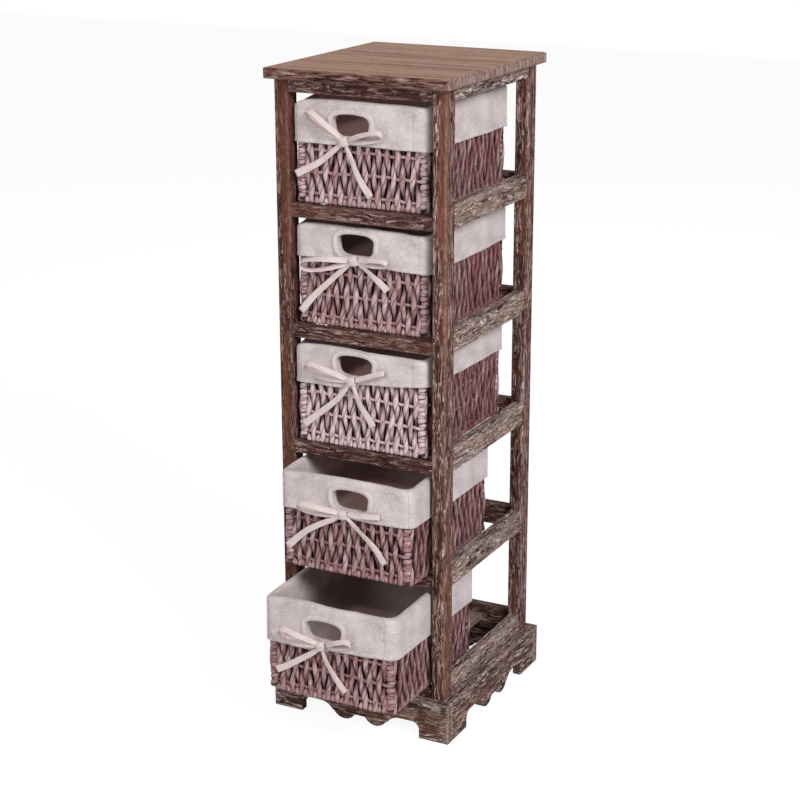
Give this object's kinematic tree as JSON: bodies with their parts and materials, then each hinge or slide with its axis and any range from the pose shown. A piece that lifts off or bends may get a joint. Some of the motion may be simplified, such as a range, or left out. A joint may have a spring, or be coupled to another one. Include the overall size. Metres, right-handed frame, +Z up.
{
  "type": "chest of drawers",
  "caption": "Tall narrow rack of weathered wood on a scalloped plinth, with lined wicker baskets tied with bows that slide out as drawers.",
  "frame": {"origin": "on the floor, midway between the four posts in plan", "axes": "+X to the right as seen from the front, +Y to the back, +Z up; the baskets draw out along -Y"},
  "size_m": [0.272, 0.3983, 0.9],
  "materials": {
    "top_wood": "weathered pinkish brown wood, limed, satin",
    "rack_wood": "weathered brown wood with pale lime left in its grain",
    "plinth_wood": "weathered dark brown wood, limed",
    "slat_wood": "bare sawn wood, matt",
    "wicker": "woven twisted fibre cord, pinkish grey brown, matt",
    "linen": "washed off-white linen",
    "wire": "plain drawn steel",
    "screw": "plated steel"
  },
  "bodies": {
    "rack": {"top_board": "top_wood", "post_front_left": "rack_wood", "post_front_right": "rack_wood", "post_rear_left": "rack_wood", "post_rear_right": "rack_wood", "top_rail_front": "rack_wood", "top_rail_rear": "rack_wood", "top_rail_left": "rack_wood", "top_rail_right": "rack_wood", "plinth_front": "plinth_wood", "plinth_rear": "plinth_wood", "plinth_left": "plinth_wood", "plinth_right": "plinth_wood", "screws": "screw", "front_rail_1": "rack_wood", "front_rail_2": "rack_wood", "front_rail_3": "rack_wood", "front_rail_4": "rack_wood", "front_rail_5": "rack_wood", "rear_rail_1": "rack_wood", "rear_rail_2": "rack_wood", "rear_rail_3": "rack_wood", "rear_rail_4": "rack_wood", "rear_rail_5": "rack_wood", "left_rail_1": "rack_wood", "left_rail_2": "rack_wood", "left_rail_3": "rack_wood", "left_rail_4": "rack_wood", "left_rail_5": "rack_wood", "right_rail_1": "rack_wood", "right_rail_2": "rack_wood", "right_rail_3": "rack_wood", "right_rail_4": "rack_wood", "right_rail_5": "rack_wood", "slats_1": "slat_wood", "slats_2": "slat_wood", "slats_3": "slat_wood", "slats_4": "slat_wood", "slats_5": "slat_wood"},
    "basket_1": {"basket_1_weave": "wicker", "basket_1_wire": "wire", "basket_1_liner": "linen", "basket_1_bow": "linen"},
    "basket_2": {"basket_2_weave": "wicker", "basket_2_wire": "wire", "basket_2_liner": "linen", "basket_2_bow": "linen"},
    "basket_3": {"basket_3_weave": "wicker", "basket_3_wire": "wire", "basket_3_liner": "linen", "basket_3_bow": "linen"},
    "basket_4": {"basket_4_weave": "wicker", "basket_4_wire": "wire", "basket_4_liner": "linen", "basket_4_bow": "linen"},
    "basket_5": {"basket_5_weave": "wicker", "basket_5_wire": "wire", "basket_5_liner": "linen", "basket_5_bow": "linen"}
  },
  "joints": [
    {"name": "basket_1_slide", "type": "slide", "parent": "rack", "child": "basket_1", "axis": [0, -1, 0], "range_m": [-0.012, 0.178]},
    {"name": "basket_2_slide", "type": "slide", "parent": "rack", "child": "basket_2", "axis": [0, -1, 0], "range_m": [-0.011, 0.179]},
    {"name": "basket_3_slide", "type": "slide", "parent": "rack", "child": "basket_3", "axis": [0, -1, 0], "range_m": [-0.018, 0.172]},
    {"name": "basket_4_slide", "type": "slide", "parent": "rack", "child": "basket_4", "axis": [0, -1, 0], "range_m": [-0.067, 0.123]},
    {"name": "basket_5_slide", "type": "slide", "parent": "rack", "child": "basket_5", "axis": [0, -1, 0], "range_m": [-0.119, 0.071]}
  ]
}
